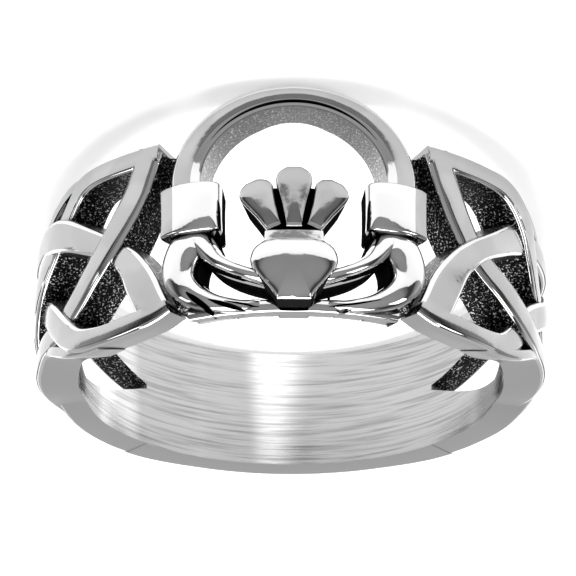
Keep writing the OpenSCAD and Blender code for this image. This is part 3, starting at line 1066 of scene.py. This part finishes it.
@dataclass(frozen=True)
class Silver:
    """A finish of the silver casting.

    Attributes:
        name: Name of the material.
        metal: Grey of the bare metal.
        black: Grey of the blackened metal.
        roughness: Roughness of the surface.
        crease: Distance over which creases hold black, in metres.
        bump: Depth of the finish's own bump, in metres.
        stretch: Scale of the bump's noise in the ring's own axes.
        metallic: Metalness of the surface, which is 0 where black hides the metal.
        grainy: Whether the surface shows the casting's grain.
        streak: Share by which the bump's noise darkens the metal.
        cloud: Share by which broad patches of wear darken the metal.
        patch: Scale of those patches, where a minus turns their pattern round.
    """

    name: str
    metal: float = 0.86
    black: float = 0.02
    roughness: float = 0.07
    crease: float = 0.0004
    bump: float = 0.000025
    stretch: tuple[float, float, float] = (400, 400, 400)
    metallic: float = 1.0
    grainy: bool = False
    streak: float = 0.0
    cloud: float = 0.0
    patch: tuple[float, float, float] = (500, 500, 500)

    def build(self, tilt: float, patina: bpy.types.NodeTree,
              grain: bpy.types.NodeTree) -> bpy.types.Material:
        """Build the material.

        Args:
            tilt: Tilt of the ring as it lies, in radians.
            patina: Node group that blackens creases.
            grain: Node group of cast grain.

        Returns:
            The new material.
        """
        mat = bpy.data.materials.new(self.name)
        mat.use_nodes = True
        tree = mat.node_tree
        tree.nodes.clear()
        coords = node(tree, "ShaderNodeTexCoord", (-900, 0)).outputs["Object"]
        own = node(tree, "ShaderNodeMapping", (-700, 0), {"Vector": coords, "Rotation": (tilt, 0, 0)})
        if self.grainy:
            height, color = self.grained(tree, own.outputs["Vector"], grain)
        else:
            height, color = self.patinated(tree, own.outputs["Vector"], patina)
        bump = node(tree, "ShaderNodeBump", (350, -250), {"Height": height, "Distance": self.bump})
        shader = node(tree, "ShaderNodeBsdfPrincipled", (600, 0), {
            "Base Color": color, "Metallic": self.metallic, "Roughness": self.roughness,
            "Specular IOR Level": self.metallic * 0.5, "Normal": bump.outputs["Normal"],
        })
        node(tree, "ShaderNodeOutputMaterial", (900, 0), {"Surface": shader.outputs[0]})
        return mat

    def scaled(self, tree: bpy.types.NodeTree, at: tuple[float, float], spot: bpy.types.NodeSocket,
               scale: tuple[float, float, float]) -> bpy.types.NodeSocket:
        """Return coordinates times a scale.

        Args:
            tree: The material's node tree.
            at: Place of the node in the editor.
            spot: The coordinates.
            scale: Factor on each axis.

        Returns:
            The scaled coordinates.
        """
        return node(tree, "ShaderNodeVectorMath", at, {0: spot, 1: scale}, operation="MULTIPLY").outputs[0]

    def grained(self, tree: bpy.types.NodeTree, spot: bpy.types.NodeSocket,
                grain: bpy.types.NodeTree) -> tuple[bpy.types.NodeSocket, bpy.types.NodeSocket]:
        """Colour the pits of the casting's grain black.

        Args:
            tree: The material's node tree.
            spot: Coordinates in the ring's own axes.
            grain: Node group of cast grain.

        Returns:
            The height of the surface and its colour.
        """
        fine = self.scaled(tree, (-500, 0), spot, self.stretch)
        rough = node(tree, "ShaderNodeGroup", (-200, -200), node_tree=grain)
        tree.links.new(fine, rough.inputs["Vector"])
        rough.inputs["Scale"].default_value = 1.0
        color = blend(tree, (100, 100), rough.outputs["Crests"], grey(self.black), grey(self.metal))
        return rough.outputs["Height"], color

    def patinated(self, tree: bpy.types.NodeTree, spot: bpy.types.NodeSocket,
                  patina: bpy.types.NodeTree) -> tuple[bpy.types.NodeSocket, bpy.types.NodeSocket]:
        """Colour the surface with streaks, patches of wear and black creases.

        Args:
            tree: The material's node tree.
            spot: Coordinates in the ring's own axes.
            patina: Node group that blackens creases.

        Returns:
            The height of the surface and its colour.
        """
        metal, black = grey(self.metal), grey(self.black)
        fine = self.scaled(tree, (-500, 0), spot, self.stretch)
        noise = node(tree, "ShaderNodeTexNoise", (-200, -200), {
            "Vector": fine, "Scale": 1.0, "Detail": 4.0,
        }).outputs["Fac"]
        streaks = ranged(tree, (-400, 400), noise, (0.3, 0.55), (self.streak, 0.0))
        streaked = blend(tree, (-200, 400), streaks, metal, black)
        broad = self.scaled(tree, (-600, 700), spot, self.patch)
        patches = node(tree, "ShaderNodeTexNoise", (-400, 700), {
            "Vector": broad, "Scale": 1.0, "Detail": 1.0,
        }).outputs["Fac"]
        clouds = ranged(tree, (-200, 700), patches, (0.43, 0.57), (self.cloud, 0.0), smooth=True)
        clouded = blend(tree, (0, 500), clouds, streaked, black)
        around = node(tree, "ShaderNodeAmbientOcclusion", (-200, 200), {"Distance": self.crease},
                      samples=8, only_local=True)
        cover = node(tree, "ShaderNodeGroup", (100, 200), {
            "Openness": around.outputs["AO"], "Silver": clouded, "Black": black,
        }, node_tree=patina)
        return noise, cover.outputs["Color"]


# Two copies of one polished silver: the darker is painted shade, the lighter a painted highlight.
PAINTED_SHADE = Silver("painted_shade_silver", metal=0.42, roughness=0.13, bump=0.00004, cloud=0.1)
PAINTED_HIGHLIGHT = Silver("painted_highlight_silver", metal=0.72, roughness=0.06, bump=0.00002)
WORN = Silver("worn_silver", metal=0.95, black=0.3, roughness=0.3, bump=0.00003,
              stretch=(16000, 16000, 16000), grainy=True)
BLACKENED = Silver("blackened_silver", metal=0.9, black=0.012, roughness=0.34, bump=0.00006,
                   stretch=(14000, 14000, 14000), grainy=True)
INKED = Silver("inked_silver", metal=0.012, black=0.005, roughness=0.5, metallic=0.0)
RIM = Silver("satin_rim_silver", metal=0.5, roughness=0.3, bump=0.000004, stretch=(9000, 9000, 9000))
BORE = Silver("brushed_bore_silver", metal=0.97, black=0.05, roughness=0.18, bump=0.000006,
              stretch=(300, 300, 9000), streak=0.45, cloud=0.6, patch=(-230, 230, 20))


@dataclass
class Casting:
    """Fuses the stock into one casting, opens the finger hole and dresses the surfaces.

    Attributes:
        bore_segments: Number of sides of the finger hole.
        crease_angle: Angle from which an edge is crisp, in degrees.
        soft_angle: The same between two polished faces.
        rim_depth: Depth of the satin rims from the band's edges.
        head_span: Angle from the head's middle to the ends of the rim below the heart.
        head_edge: Height that the satin of that rim stays under.
        head_t: Wall that it stays within.
    """

    band: Band
    lying: Lying
    bore_segments: int = 360
    crease_angle: float = 32.0
    soft_angle: float = 50.0
    rim_depth: float = 0.62
    head_span: float = 28.0
    head_edge: float = -3.45
    head_t: float = 1.2

    def open_bore(self, stock: Stock) -> None:
        """Put the cylinder that opens the finger hole among the stock's cutters."""
        bm, r = bmesh.new(), self.band.bore_r
        bmesh.ops.create_cone(bm, cap_ends=True, segments=self.bore_segments, radius1=r, radius2=r, depth=30)
        for face in bm.faces:
            face.material_index = Finish.BORE.value
        stock.keep("finger", bm, cuts=True)

    def combine(self, base: bpy.types.Object, other: bpy.types.Object, operation: str) -> None:
        """Join or cut one solid with another.

        Args:
            base: The solid that changes.
            other: The solid that it is joined or cut with, which is removed.
            operation: Name of the Boolean operation.
        """
        mod = base.modifiers.new("combine", "BOOLEAN")
        mod.operation, mod.solver, mod.object = operation, "MANIFOLD", other
        deps = bpy.context.evaluated_depsgraph_get()
        mesh = bpy.data.meshes.new_from_object(base.evaluated_get(deps))
        base.modifiers.clear()
        old, base.data = base.data, mesh
        bpy.data.meshes.remove(old)
        used = other.data
        bpy.data.objects.remove(other)
        bpy.data.meshes.remove(used)

    def is_rim(self, centre: Vector, normal: Vector) -> bool:
        """Return whether a blackened face belongs to the band's satin rims instead.

        Args:
            centre: Middle of the face, in the ring's own millimetres.
            normal: The face's normal there.

        Returns:
            Whether it does.
        """
        angle = abs(math.degrees(math.atan2(centre.x, -centre.y)))
        if angle <= self.head_span:
            low = centre.z < self.head_edge and normal.z < -0.5
            return low and centre.xy.length < self.band.bore_r + self.head_t
        outwards = normal.z * math.copysign(1, centre.z)
        return outwards > 0.6 and abs(centre.z) > self.band.half(angle) - self.rim_depth

    def build(self, stock: Stock) -> bpy.types.Object:
        """Fuse the stock, cut it, lay the casting in the frame and finish its rims.

        Args:
            stock: The bench with all solids.

        Returns:
            The finished casting.
        """
        base, *others = stock.solids
        for other in others:
            self.combine(base, other, "UNION")
        self.open_bore(stock)
        for tool in stock.cutters:
            self.combine(base, tool, "DIFFERENCE")
        base.name = base.data.name = "ring_casting"
        mesh = base.data
        bm = bmesh.new()
        bm.from_mesh(mesh)
        bmesh.ops.remove_doubles(bm, verts=bm.verts, dist=0.0005)
        bmesh.ops.dissolve_degenerate(bm, edges=bm.edges, dist=0.0005)
        bm.normal_update()
        glossy = (Finish.PAINTED_SHADE.value, Finish.PAINTED_HIGHLIGHT.value)
        blackened = (Finish.BLACKENED.value, Finish.INKED.value)
        for edge in bm.edges:
            soft = all(face.material_index in glossy for face in edge.link_faces)
            limit = self.soft_angle if soft else self.crease_angle
            edge.smooth = edge.calc_face_angle(math.pi) < math.radians(limit)
        for face in bm.faces:
            face.smooth = True
            if face.material_index in blackened and self.is_rim(face.calc_center_median(), face.normal):
                face.material_index = Finish.RIM.value
        bmesh.ops.transform(bm, matrix=self.lying.matrix(), verts=bm.verts)
        bm.normal_update()
        bm.to_mesh(mesh)
        bm.free()
        LOG.info("casting: %d faces", len(mesh.polygons))
        return base


@dataclass
class Studio:
    """The pale floor, the soft lights, the grey surroundings and the camera.

    Attributes:
        scale: Pixels of the picture for each millimetre.
        lift: Angle of the camera over the band's middle plane, in degrees.
        yaw: Turn of the camera about the finger hole's axis, in degrees.
        centre: Pixel that shows the middle of the finger hole.
        image: Width of the picture in pixels.
        away: Distance of the camera, in millimetres.
        floor_glow: Light that the floor gives by itself.
        floor_half: Half the floor's side, in metres.
        lights: Name, place and side in metres, and glow of each soft light.
        surroundings: Pairs of the place from straight ahead (0) to behind the camera (1), and the
            grey there.
    """

    lying: Lying
    scale: float = 24.6
    lift: float = 24.6
    yaw: float = -0.7
    centre: tuple[float, float] = (291.0, 321.0)
    image: float = 576.0
    away: float = 120.0
    floor_glow: float = 0.45
    floor_half: float = 0.036
    lights: Sequence[tuple[str, tuple[float, float, float], float, float]] = (
        ("overhead", (0.005, 0.005, 0.06), 0.045, 5.5),
        ("left", (-0.2, -0.06, 0.14), 0.1, 4.0),
        ("right", (0.2, -0.02, 0.12), 0.08, 2.5),
    )
    surroundings: Sequence[tuple[float, float]] = (
        (0.0, 0.7), (0.42, 0.55), (0.55, 0.3), (0.62, 0.06), (0.7, 0.05), (0.8, 0.3), (1.0, 0.4),
    )

    def floor(self) -> bpy.types.Object:
        """Return the pale floor."""
        bm = bmesh.new()
        bmesh.ops.create_grid(bm, x_segments=1, y_segments=1, size=self.floor_half)
        mesh = bpy.data.meshes.new("floor")
        bm.to_mesh(mesh)
        bm.free()
        mat = bpy.data.materials.new("pale_floor")
        mat.use_nodes = True
        shader = mat.node_tree.nodes["Principled BSDF"]
        shader.inputs["Base Color"].default_value = grey(0.9)
        shader.inputs["Roughness"].default_value = 0.8
        shader.inputs["Emission Color"].default_value = grey(1.0)
        shader.inputs["Emission Strength"].default_value = self.floor_glow
        mesh.materials.append(mat)
        obj = bpy.data.objects.new("floor", mesh)
        bpy.context.scene.collection.objects.link(obj)
        return obj

    def axes(self) -> tuple[Vector, Vector, Vector]:
        """Return the camera's right, up and viewing directions in the ring's own axes."""
        e, yaw = math.radians(self.lift), math.radians(self.yaw)
        right = Vector((math.cos(yaw), math.sin(yaw), 0))
        ahead = Vector((-math.sin(yaw) * math.cos(e), math.cos(yaw) * math.cos(e), math.sin(e)))
        return right, right.cross(ahead), ahead

    def camera(self) -> None:
        """Create the camera at the photograph's angle to the ring."""
        right, up, ahead = self.axes()
        half = self.image / 2
        aside = (right * (half - self.centre[0]) + up * (self.centre[1] - half)) / self.scale
        data = bpy.data.cameras.new("camera")
        data.type = "ORTHO"
        data.ortho_scale = self.image / self.scale * MM
        data.clip_end = 10
        data.clip_start = 0.001
        obj = bpy.data.objects.new("camera", data)
        turn = Matrix((right, up, -ahead)).transposed().to_4x4()
        world = self.lying.matrix() @ Matrix.Translation(aside - ahead * self.away) @ turn
        spot, rotation, _ = world.decompose()
        obj.matrix_world = Matrix.LocRotScale(spot, rotation, None)
        bpy.context.scene.collection.objects.link(obj)
        bpy.context.scene.camera = obj

    def light(self, name: str, at: tuple[float, float, float], size: float, glow: float) -> None:
        """Add a soft square light that shines at the ring.

        Args:
            name: Name of the light.
            at: Place in the frame, in metres.
            size: Length of the light's side, in metres.
            glow: Brightness of its face, where 1 is a white surface.
        """
        data = bpy.data.lights.new(name, "AREA")
        data.energy, data.size = glow * math.pi * size**2, size
        obj = bpy.data.objects.new(name, data)
        obj.location = at
        obj.rotation_euler = (-Vector(at)).to_track_quat("-Z", "Y").to_euler()
        bpy.context.scene.collection.objects.link(obj)

    def world(self) -> None:
        """Light the surroundings with a soft grey that is darker towards the camera."""
        world = bpy.data.worlds.new("surroundings")
        world.use_nodes = True
        tree = world.node_tree
        _, _, ahead = self.axes()
        way = -(self.lying.matrix().to_3x3() @ ahead).normalized()
        coords = node(tree, "ShaderNodeTexCoord", (-900, 0)).outputs["Generated"]
        towards = node(tree, "ShaderNodeVectorMath", (-700, 0), {0: coords, 1: way}, operation="DOT_PRODUCT")
        spread = ranged(tree, (-600, -200), towards.outputs["Value"], (-1.0, 1.0))
        ramp = node(tree, "ShaderNodeValToRGB", (-450, 0), {"Fac": spread})
        stops = ramp.color_ramp.elements
        for spot, value in self.surroundings:
            ends = [stop for stop in stops if stop.position == spot]
            stop = ends[0] if ends else stops.new(spot)
            stop.color = grey(value)
        tree.links.new(ramp.outputs["Color"], tree.nodes["Background"].inputs["Color"])
        bpy.context.scene.world = world

    def build(self) -> None:
        """Build the floor, the lights, the surroundings and the camera."""
        self.floor()
        self.world()
        for light in self.lights:
            self.light(*light)
        self.camera()
        bpy.context.scene.view_settings.view_transform = "Standard"


def main() -> None:
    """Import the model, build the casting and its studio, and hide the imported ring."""
    logging.basicConfig(level=logging.INFO, format="%(name)s: %(message)s")
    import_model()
    band = Band()
    lying = Lying()
    patina, grain = patina_group(), grain_group()
    silvers = (PAINTED_SHADE, PAINTED_HIGHLIGHT, WORN, BLACKENED, INKED, RIM, BORE)
    stock = Stock(band, [silver.build(lying.tilt, patina, grain) for silver in silvers])
    builders: list[tuple[str, Callable[[Stock], None]]] = [
        ("shank", Shank(band).build),
        ("left shoulder", Knotwork(band, Side.LEFT).build),
        ("right shoulder", Knotwork(band, Side.RIGHT).build),
        ("arch", Arch(band).build),
        ("left hand", Hand(band, Side.LEFT).build),
        ("right hand", Hand(band, Side.RIGHT).build),
        ("heart and crown", Heart(band).build),
    ]
    for name, build in builders:
        before = len(stock.solids)
        build(stock)
        LOG.info("%s: %d solids", name, len(stock.solids) - before)
    casting = Casting(band, lying).build(stock)
    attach(casting, "root")
    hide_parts("ring")
    Studio(lying).build()


if __name__ == "__main__":
    main()
